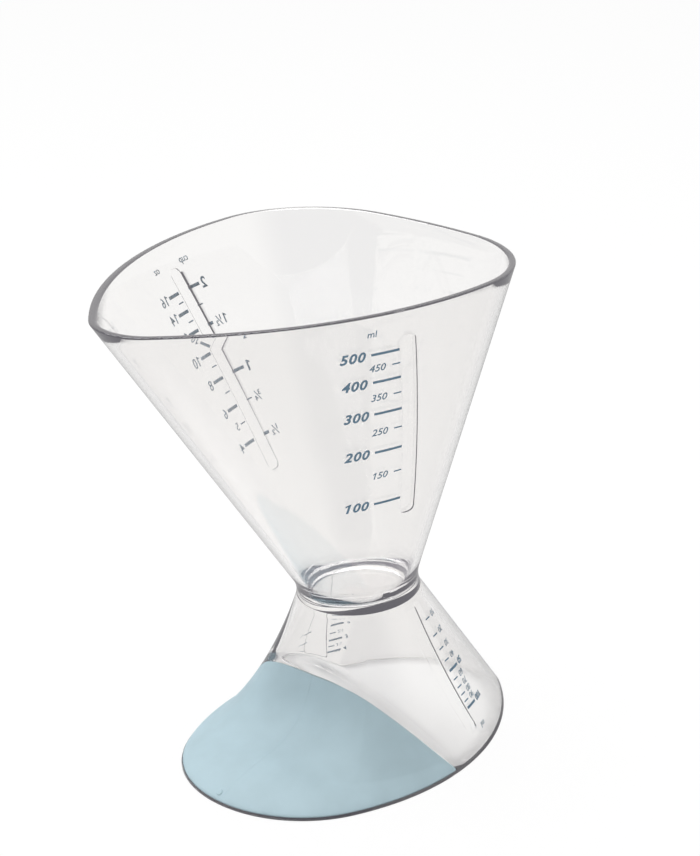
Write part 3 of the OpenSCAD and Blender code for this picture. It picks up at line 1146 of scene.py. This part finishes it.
@dataclass(frozen=True)
class Lettering:
    """How a printed word is set, in millimetres and in shares of a numeral's height."""

    height: float
    slant: float = 0.0
    bold: float = 0.0
    spacing: float = 1.0
    digit_share: float = 0.73
    curve_steps: int = 4
    flag_root: float = 0.6
    flag_reach: float = 0.24
    flag_drop: float = 0.3
    flag_thickness: float = 0.75

    def mesh(self, words: str, align: Align, thickness: float) -> bpy.types.Mesh:
        """Makes flat letters of some thickness.

        Args:
            words: What they say.
            align: Which side of the word lies at the origin.
            thickness: Thickness of the ink.

        Returns:
            A closed mesh of each letter.
        """
        curve = bpy.data.curves.new("letters", "FONT")
        curve.body = words
        curve.size = self.height / self.digit_share
        curve.shear = self.slant
        curve.space_character = self.spacing
        curve.offset = self.bold
        curve.extrude = thickness / 2
        curve.resolution_u = self.curve_steps
        curve.align_x = align.value
        holder = bpy.data.objects.new("letters", curve)
        bpy.context.scene.collection.objects.link(holder)
        bpy.context.view_layer.update()
        placed = holder.evaluated_get(bpy.context.evaluated_depsgraph_get())
        flat = bpy.data.meshes.new_from_object(placed)
        bpy.data.objects.remove(holder)
        bpy.data.curves.remove(curve)
        work = bmesh.new()
        work.from_mesh(flat)
        bmesh.ops.remove_doubles(work, verts=work.verts, dist=WELD_MM)
        glyphs = sorted(islands(work), key=lambda verts: min(v.co.x - self.slant * v.co.y for v in verts))
        if len(glyphs) >= len(words):
            for letter, verts in zip(words, glyphs):
                if letter == "1":
                    self.add_flag(work, verts)
        work.to_mesh(flat)
        work.free()
        return flat

    def add_flag(self, work: bmesh.types.BMesh, stem: list[bmesh.types.BMVert]) -> None:
        """Adds the short slanting stroke at the top of a numeral one.

        Args:
            work: Mesh of the word.
            stem: Vertices of the one's upright stroke.
        """
        upright = [v.co.x - self.slant * v.co.y for v in stem]
        low, high = min(v.co.z for v in stem), max(v.co.z for v in stem)
        left, thick = min(upright), max(upright) - min(upright)
        top = max(v.co.y for v in stem)
        inner, outer = left + thick * self.flag_root, left - self.height * self.flag_reach
        tip = top - self.height * self.flag_drop
        tip_top = tip + thick * self.flag_thickness
        corners = [(inner, top), (inner, top - thick), (outer, tip), (outer, tip_top)]
        rings = [[work.verts.new((x + self.slant * y, y, z)) for x, y in corners] for z in (low, high)]
        work.faces.new(rings[0])
        work.faces.new(rings[1][::-1])
        for i in range(len(corners)):
            j = (i + 1) % len(corners)
            work.faces.new([rings[0][j], rings[0][i], rings[1][i], rings[1][j]])


@dataclass(frozen=True)
class Word:
    """One printed word and its place: distance along from the scale's edge, and height on the cup."""

    text: str
    along: float
    z: float
    lettering: Lettering
    align: Align


@dataclass
class Printing:
    """Numerals of one scale, bent round the wall that they are printed on."""

    name: str
    form: CupForm
    way: Way
    edge: Callable[[float], Array | float]
    on_small_cup: bool
    words: list[Word] = field(default_factory=list)
    ink_gap: float = 0.03
    ink_t: float = 0.12
    cut: float = 1.0

    def place(self, word: Word, flat: Array) -> Array:
        """Bends the points of flat letters round the wall.

        Args:
            word: The word that they belong to.
            flat: Points in millimetres, along, up and out of the wall.

        Returns:
            Points of the cup in millimetres.
        """
        f, turn = self.form, self.way.value
        start = np.full(flat.shape[:-1], float(self.edge(word.z)))
        along = turn * (flat[..., 0] + word.along)
        up = turn * (flat[..., 1] - word.lettering.height / 2)
        out = flat[..., 2] + self.ink_gap + self.ink_t / 2
        if not self.on_small_cup:
            z = word.z + up * np.cos(f.lean(start))
            a = start + along / f.cup_speed(start, z)
            return f.cup_wall(a, z) + f.cup_out(a) * out[..., None]
        u = f.place_at(start, word.z)
        a = start + along / f.foot_speed(start, u)
        v = f.place_at(a, word.z) - up / f.foot_run(start, u)
        return f.foot_wall(a, v, -out)

    def build(self) -> bpy.types.Object:
        """Makes all words of the scale.

        Returns:
            One thin printed piece, cut across every millimetre so that it bends smoothly.
        """
        work = bmesh.new()
        for word in self.words:
            flat = word.lettering.mesh(word.text, word.align, self.ink_t)
            letters = bmesh.new()
            letters.from_mesh(flat)
            bmesh.ops.remove_doubles(letters, verts=letters.verts, dist=WELD_MM)
            xs = [v.co.x for v in letters.verts]
            for k in range(math.ceil(min(xs) / self.cut), math.ceil(max(xs) / self.cut)):
                whole = [*letters.verts, *letters.edges, *letters.faces]
                bmesh.ops.bisect_plane(letters, geom=whole, plane_co=(k * self.cut, 0, 0), plane_no=(1, 0, 0))
            points = self.place(word, np.array([v.co[:] for v in letters.verts]))
            for vert, point in zip(letters.verts, (points - self.form.centre) * MM):
                vert.co = Vector(point)
            letters.to_mesh(flat)
            letters.free()
            work.from_mesh(flat)
            bpy.data.meshes.remove(flat)
        mesh = bpy.data.meshes.new(self.name)
        work.to_mesh(mesh)
        work.free()
        return finished(self.name, mesh)


@dataclass
class Scales:
    """The six printed scales: CAD marks in ink, with their numerals beside them.

    All sizes are in millimetres. A mark's length and a gap run round the wall, and a head is the
    word at the end of a scale.
    """

    form: CupForm
    long_mark: float = 10.2
    cup_mark: float = 6.4
    short_mark: float = 2.9
    head_z: float = 168.6
    ml_head_z: float = 169.6
    ml_head_in: float = 2.6
    oz_head_gap: float = 0.6
    hundreds_gap: float = 2.3
    fifties_gap: float = 2.6
    numeral_gap: float = 1.1
    five_gap: float = 1.4
    small_ml_head_z: float = 6.2
    small_oz_head_z: float = 9.5
    small_fifties_gap: float = 1.6
    small_tens_gap: float = 2.0
    small_ounce_gap: float = 1.2
    fraction_gap: float = 0.7
    mark_nodes: tuple[str, ...] = (
        "millilitre_marks",
        "cup_marks",
        "ounce_marks",
        "small_millilitre_marks",
        "small_ounce_marks",
        "small_cup_marks",
    )
    bold: Lettering = Lettering(3.8, slant=0.2, bold=0.13, spacing=1.14)
    plain: Lettering = Lettering(2.85, slant=0.2)
    upright_bold: Lettering = Lettering(3.9, bold=0.12)
    upright: Lettering = Lettering(3.7, bold=0.02)
    upright_small: Lettering = Lettering(3.0)
    unit: Lettering = Lettering(2.6, slant=0.1)
    tiny_italic: Lettering = Lettering(2.3, slant=0.2, bold=-0.05)
    tiny_bold: Lettering = Lettering(2.3, slant=0.2, bold=0.05)
    faint: Lettering = Lettering(1.7, slant=0.2, bold=-0.03)
    heights: dict[str, list[float]] = field(default_factory=dict)

    def read_heights(self) -> None:
        """Finds the heights of the marks from the CAD meshes themselves."""
        for node in self.mark_nodes:
            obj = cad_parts[node]
            work = bmesh.new()
            work.from_mesh(obj.data)
            work.transform(obj.matrix_world)
            bmesh.ops.remove_doubles(work, verts=work.verts, dist=WELD_M)
            spans = [[v.co.z for v in island] for island in islands(work)]
            work.free()
            self.heights[node] = sorted((min(span) + max(span)) / 2 / MM for span in spans)

    def millilitres(self) -> Printing:
        """Sets the large cup's millilitre scale, which starts at 100 and counts in fifties.

        Returns:
            The scale's numerals.
        """
        words = [Word("ml", -self.long_mark + self.ml_head_in, self.ml_head_z, self.unit, Align.RIGHT)]
        for amount, z in zip(count(100, 50), self.heights["millilitre_marks"]):
            if amount % 100 == 0:
                along, style = -self.long_mark - self.hundreds_gap, self.bold
            else:
                along, style = -self.short_mark - self.fifties_gap, self.plain
            words.append(Word(str(amount), along, z, style, Align.RIGHT))
        return Printing("millilitre_numerals", self.form, Way.UPRIGHT, self.form.strip_front, False, words)

    def cups(self) -> Printing:
        """Sets the cup scale on the far wall, which starts at half a cup and counts in quarters.

        Returns:
            The scale's numerals.
        """
        texts = {2: "½", 3: "¾", 4: "1", 6: "1½", 8: "2"}
        words = [Word("cup", -self.short_mark, self.head_z, self.unit, Align.RIGHT)]
        for quarters, z in zip(count(2), self.heights["cup_marks"]):
            if quarters in texts:
                whole = quarters % 4 == 0
                reach = self.cup_mark if whole else self.short_mark
                style = self.upright_bold if whole else self.upright
                words.append(Word(texts[quarters], -reach - self.numeral_gap, z, style, Align.RIGHT))
        edge = self.form.strip_back
        return Printing("cup_numerals", self.form, Way.UPRIGHT, lambda z: -edge(z), False, words)

    def ounces(self) -> Printing:
        """Sets the large cup's ounce scale, which starts at 4.

        Returns:
            The scale's numerals.
        """
        words = [Word("oz", self.short_mark + self.oz_head_gap, self.head_z, self.unit, Align.LEFT)]
        for amount, z in zip(count(4), self.heights["ounce_marks"]):
            if amount % 2 == 0:
                words.append(Word(str(amount), self.cup_mark + self.numeral_gap, z, self.upright, Align.LEFT))
            elif amount == 5:
                words.append(Word("5", self.short_mark + self.five_gap, z, self.upright_small, Align.LEFT))
        edge = self.form.strip_front
        return Printing("ounce_numerals", self.form, Way.UPRIGHT, lambda z: -edge(z), False, words)

    def small_millilitres(self) -> Printing:
        """Sets the small cup's millilitre scale, which counts in tens and reads mouth up.

        Returns:
            The scale's numerals.
        """
        words = [Word("ml", -self.short_mark, self.small_ml_head_z, self.tiny_italic, Align.RIGHT)]
        for amount, z in zip(count(10, 10), self.heights["small_millilitre_marks"][::-1]):
            if amount % 50 == 0:
                along, style = -self.cup_mark - self.small_fifties_gap, self.tiny_bold
            else:
                along, style = -self.short_mark - self.small_tens_gap, self.tiny_italic
            words.append(Word(str(amount), along, z, style, Align.RIGHT))
        angle = self.form.s.small_scale_angle
        return Printing("small_millilitre_numerals", self.form, Way.FLIPPED, lambda z: angle, True, words)

    def small_ounces(self) -> Printing:
        """Sets the small cup's ounce scale, which starts at 1, counts in halves and reads mouth up.

        Returns:
            The scale's numerals.
        """
        words = [Word("oz", self.short_mark, self.small_oz_head_z, self.tiny_italic, Align.LEFT)]
        for halves, z in zip(count(2), self.heights["small_ounce_marks"][::-1]):
            whole = str(halves // 2)
            if halves % 2 == 0:
                along = self.cup_mark + self.small_ounce_gap
                words.append(Word(whole, along, z, self.tiny_bold, Align.LEFT))
            else:
                along = self.short_mark + self.fraction_gap
                words.append(Word(f"{whole}½", along, z, self.faint, Align.LEFT))
        angle = -self.form.s.small_ounce_angle
        return Printing("small_ounce_numerals", self.form, Way.FLIPPED, lambda z: angle, True, words)

    def small_cups(self) -> Printing:
        """Sets the small cup's cup scale, which reads mouth up.

        Returns:
            The scale's numerals.
        """
        form, start = self.form, -self.form.s.small_ounce_angle

        def edge(z: float) -> float:
            """Direction of the scale's edge at height z, a strip's width from the ounce marks."""
            a = np.array(start)
            return start + form.s.strip_w / float(form.foot_speed(a, form.place_at(a, z)))

        along = -self.short_mark - self.fraction_gap
        levels = self.heights["small_cup_marks"][::-1]
        words = [Word(text, along, z, self.faint, Align.RIGHT) for text, z in zip("¼⅓½", levels)]
        return Printing("small_cup_numerals", form, Way.FLIPPED, edge, True, words)

    def build(self, ink: bpy.types.Material) -> list[bpy.types.Object]:
        """Makes the numerals and inks the CAD marks.

        Args:
            ink: Material of the printing.

        Returns:
            The numerals, one piece for each scale.
        """
        self.read_heights()
        for node in self.mark_nodes:
            dressed(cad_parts[node], ink)
        scales = [self.millilitres(), self.cups(), self.ounces()]
        scales += [self.small_millilitres(), self.small_ounces(), self.small_cups()]
        pieces = [scale.build() for scale in scales]
        for piece in pieces:
            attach(dressed(piece, ink), BODY)
        return pieces


# Studio


def facing_from(place: Place, aim: Place) -> Euler:
    """Turn that points a lamp or a camera from its place to its aim."""
    return (Vector(aim) - Vector(place)).to_track_quat("-Z", "Y").to_euler()


@dataclass(frozen=True)
class Studio:
    """White sweep, one soft lamp above, and a darker room to the left of the camera.

    Places and sizes are in metres, and the lamp's power is in watts.
    """

    floor_r: float = 3.0
    floor_sides: int = 96
    floor_grey: str = "#F4F4F4"
    glow: float = 0.93
    room_light: str = "#FFFEFC"
    # Disc round shade_at inside which rays through or off the cup see no glow: painted shade under the cup,
    # over which the real shadow on the lit paper shows
    shade_r: tuple[float, float] = (0.03, 0.1)
    # Reach of the occlusion band along the walls that takes the glow away: painted contact shade
    contact: float = 0.005
    # Grey of the floor's glow where the cup reflects it: a painted darker reflection
    mirrored: float = 0.45
    shade_at: Place = (0.03, 0.0, 0.0)
    room_dark: str = "#55596C"
    dark_turn: float = -30.0
    dark_reach: tuple[float, float] = (-0.3, 0.5)
    fill: float = 0.34
    lamp_place: Place = (0.2, -0.2, 1.45)
    lamp_aim: Place = (0.0, 0.0, 0.08)
    lamp_size: float = 1.5
    lamp_power: float = 30.0

    def sweep(self) -> bpy.types.Material:
        """Makes the floor's white, which glows to the camera; to other rays painted shade takes part of the
        glow away.

        Returns:
            The material. Seen through the cup it darkens under the cup and close to its walls, where
            painted shade takes its glow away: a disc under the cup and an occlusion band along the walls,
            over which the real shadow on the lamp-lit paper shows. Seen as a reflection its glow is
            painted greyer.
        """
        made = bpy.data.materials.new("white_sweep")
        made.use_nodes = True
        tree = made.node_tree
        tree.nodes.clear()
        path = add_node(tree, "ShaderNodeLightPath")
        camera, glossy = path.outputs["Is Camera Ray"], path.outputs["Is Glossy Ray"]
        through = path.outputs["Is Transmission Ray"]
        behind = add_node(tree, "ShaderNodeMath", {0: glossy, 1: through}, operation="MAXIMUM")
        spot = add_node(tree, "ShaderNodeTexCoord").outputs["Object"]
        away = add_node(tree, "ShaderNodeVectorMath", {0: spot, 1: self.shade_at}, operation="DISTANCE")
        # Painted shade: the glow fades out in a disc under the cup
        shade_disc_mask = add_node(
            tree,
            "ShaderNodeMapRange",
            {
                "Value": away.outputs["Value"],
                "From Min": self.shade_r[0],
                "From Max": self.shade_r[1],
                "To Max": self.glow,
            },
            interpolation_type="SMOOTHSTEP",
        )
        # Painted contact shade: occlusion takes the glow away close to the walls
        contact_shade_mask = add_node(tree, "ShaderNodeAmbientOcclusion", {"Distance": self.contact})
        glow_outside_shade = add_node(
            tree,
            "ShaderNodeMath",
            {0: contact_shade_mask.outputs["AO"], 1: shade_disc_mask.outputs["Result"]},
            operation="MULTIPLY",
        )
        beyond = add_node(
            tree, "ShaderNodeMath", {0: behind.outputs[0], 1: glow_outside_shade.outputs[0]}, operation="MULTIPLY"
        )
        share = add_node(
            tree, "ShaderNodeMath", {0: camera, 1: self.glow, 2: beyond.outputs[0]}, operation="MULTIPLY_ADD"
        )
        paper = add_node(tree, "ShaderNodeBsdfDiffuse", {"Color": linear(self.floor_grey)})
        # Painted darker reflection: rays reflected off the cup see the floor's glow greyer
        mirrored = add_node(tree, "ShaderNodeMath", {0: glossy, 1: through}, operation="SUBTRACT")
        white = add_node(
            tree, "ShaderNodeMapRange", {"Value": mirrored.outputs[0], "To Min": 1.0, "To Max": self.mirrored}
        )
        light = add_node(tree, "ShaderNodeEmission", {"Color": white.outputs["Result"], "Strength": 1.0})
        both = add_node(
            tree, "ShaderNodeMixShader", {0: share.outputs[0], 1: paper.outputs[0], 2: light.outputs[0]}
        )
        add_node(tree, "ShaderNodeOutputMaterial", {"Surface": both.outputs[0]})
        return made

    def floor(self) -> None:
        """Lays the floor."""
        bpy.ops.mesh.primitive_circle_add(
            vertices=self.floor_sides, radius=self.floor_r, fill_type="NGON", location=(0, 0, 0)
        )
        floor = bpy.context.active_object
        floor.name = "floor"
        dressed(floor, self.sweep())

    def world(self, camera: bpy.types.Object) -> None:
        """Makes the surroundings: white, but dark to the left of the camera for all but its own rays.

        Args:
            camera: The photograph's camera.
        """
        world = bpy.data.worlds.new("studio")
        bpy.context.scene.world = world
        world.use_nodes = True
        tree = world.node_tree
        tree.nodes.clear()
        azimuth = math.atan2(camera.location.y, camera.location.x) + math.radians(self.dark_turn)
        way = (math.cos(azimuth), math.sin(azimuth), 0.0)
        place = add_node(tree, "ShaderNodeTexCoord").outputs["Generated"]
        toward = add_node(tree, "ShaderNodeVectorMath", {0: place, 1: way}, operation="DOT_PRODUCT")
        darkness = add_node(
            tree,
            "ShaderNodeMapRange",
            {
                "Value": toward.outputs["Value"],
                "From Min": self.dark_reach[0],
                "From Max": self.dark_reach[1],
            },
            interpolation_type="SMOOTHSTEP",
        )
        path = add_node(tree, "ShaderNodeLightPath")
        unseen = add_node(
            tree,
            "ShaderNodeMath",
            {0: darkness.outputs["Result"], 1: path.outputs["Is Camera Ray"]},
            operation="SUBTRACT",
            use_clamp=True,
        )
        white = add_node(tree, "ShaderNodeBackground", {"Color": linear(self.room_light)})
        dark = add_node(tree, "ShaderNodeBackground", {"Color": linear(self.room_dark)})
        fill = add_node(
            tree, "ShaderNodeBackground", {"Color": linear(self.room_light), "Strength": self.fill}
        )
        seen = add_node(
            tree, "ShaderNodeMixShader", {0: unseen.outputs[0], 1: white.outputs[0], 2: dark.outputs[0]}
        )
        both = add_node(
            tree,
            "ShaderNodeMixShader",
            {0: path.outputs["Is Diffuse Ray"], 1: seen.outputs[0], 2: fill.outputs[0]},
        )
        add_node(tree, "ShaderNodeOutputWorld", {"Surface": both.outputs[0]})

    def lamp(self) -> None:
        """Hangs the square soft lamp, facing the cup's middle."""
        data = bpy.data.lights.new("overhead_softbox", "AREA")
        data.shape = "SQUARE"
        data.size = self.lamp_size
        data.energy = self.lamp_power
        lamp = bpy.data.objects.new("overhead_softbox", data)
        bpy.context.scene.collection.objects.link(lamp)
        lamp.location = self.lamp_place
        lamp.rotation_euler = facing_from(self.lamp_place, self.lamp_aim)

    def build(self, camera: bpy.types.Object) -> None:
        """Builds the floor, the surroundings and the lamp.

        Args:
            camera: The photograph's camera.
        """
        self.floor()
        self.world(camera)
        self.lamp()


@dataclass(frozen=True)
class PhotoCamera:
    """The photograph's camera, found from the cup's outlines, in metres and its lens in millimetres."""

    place: Place = (0.5197, 0.4546, 0.38944)
    aim: Place = (-0.0221, -0.0019, 0.11295)
    lens: float = 95.76
    sensor: float = 36.0
    nearest: float = 0.01

    def build(self) -> bpy.types.Object:
        """Makes the camera the scene's own.

        Returns:
            The camera.
        """
        data = bpy.data.cameras.new("photo_camera")
        data.lens = self.lens
        data.sensor_width = self.sensor
        data.sensor_fit = "AUTO"
        data.clip_start = self.nearest
        camera = bpy.data.objects.new("photo_camera", data)
        bpy.context.scene.collection.objects.link(camera)
        camera.location = self.place
        camera.rotation_euler = facing_from(self.place, self.aim)
        bpy.context.scene.camera = camera
        return camera


def main() -> None:
    """Builds the pieces in order and reports each one."""
    logging.basicConfig(level=logging.INFO, format="%(message)s")
    detail = 1.0
    form = CupForm(CupSizes())
    clear, rubber, ink = CLEAR_PLASTIC.material(), SOFT_RUBBER.material(), SCALE_INK.material()

    body = dressed(ClearBody(form, detail=detail).build(), clear)
    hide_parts("clear_body")
    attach(body, BODY)
    log.info("clear moulding: %d faces", len(body.data.polygons))

    grip = SoftGrip(form, detail=detail)
    skin = dressed(grip.build(), rubber)
    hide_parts("soft_grip")
    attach(skin, BODY)
    log.info("soft grip: %d faces", len(skin.data.polygons))
    gate = dressed(grip.gate(), rubber)
    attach(gate, BODY)
    log.info("gate mark: %d faces", len(gate.data.polygons))

    numerals = Scales(form).build(ink)
    log.info("scales: %d sets of numerals", len(numerals))

    camera = PhotoCamera().build()
    Studio().build(camera)
    bpy.context.scene.view_settings.view_transform = "Standard"
    log.info("studio: floor, surroundings and lamp")


if __name__ == "__main__":
    main()
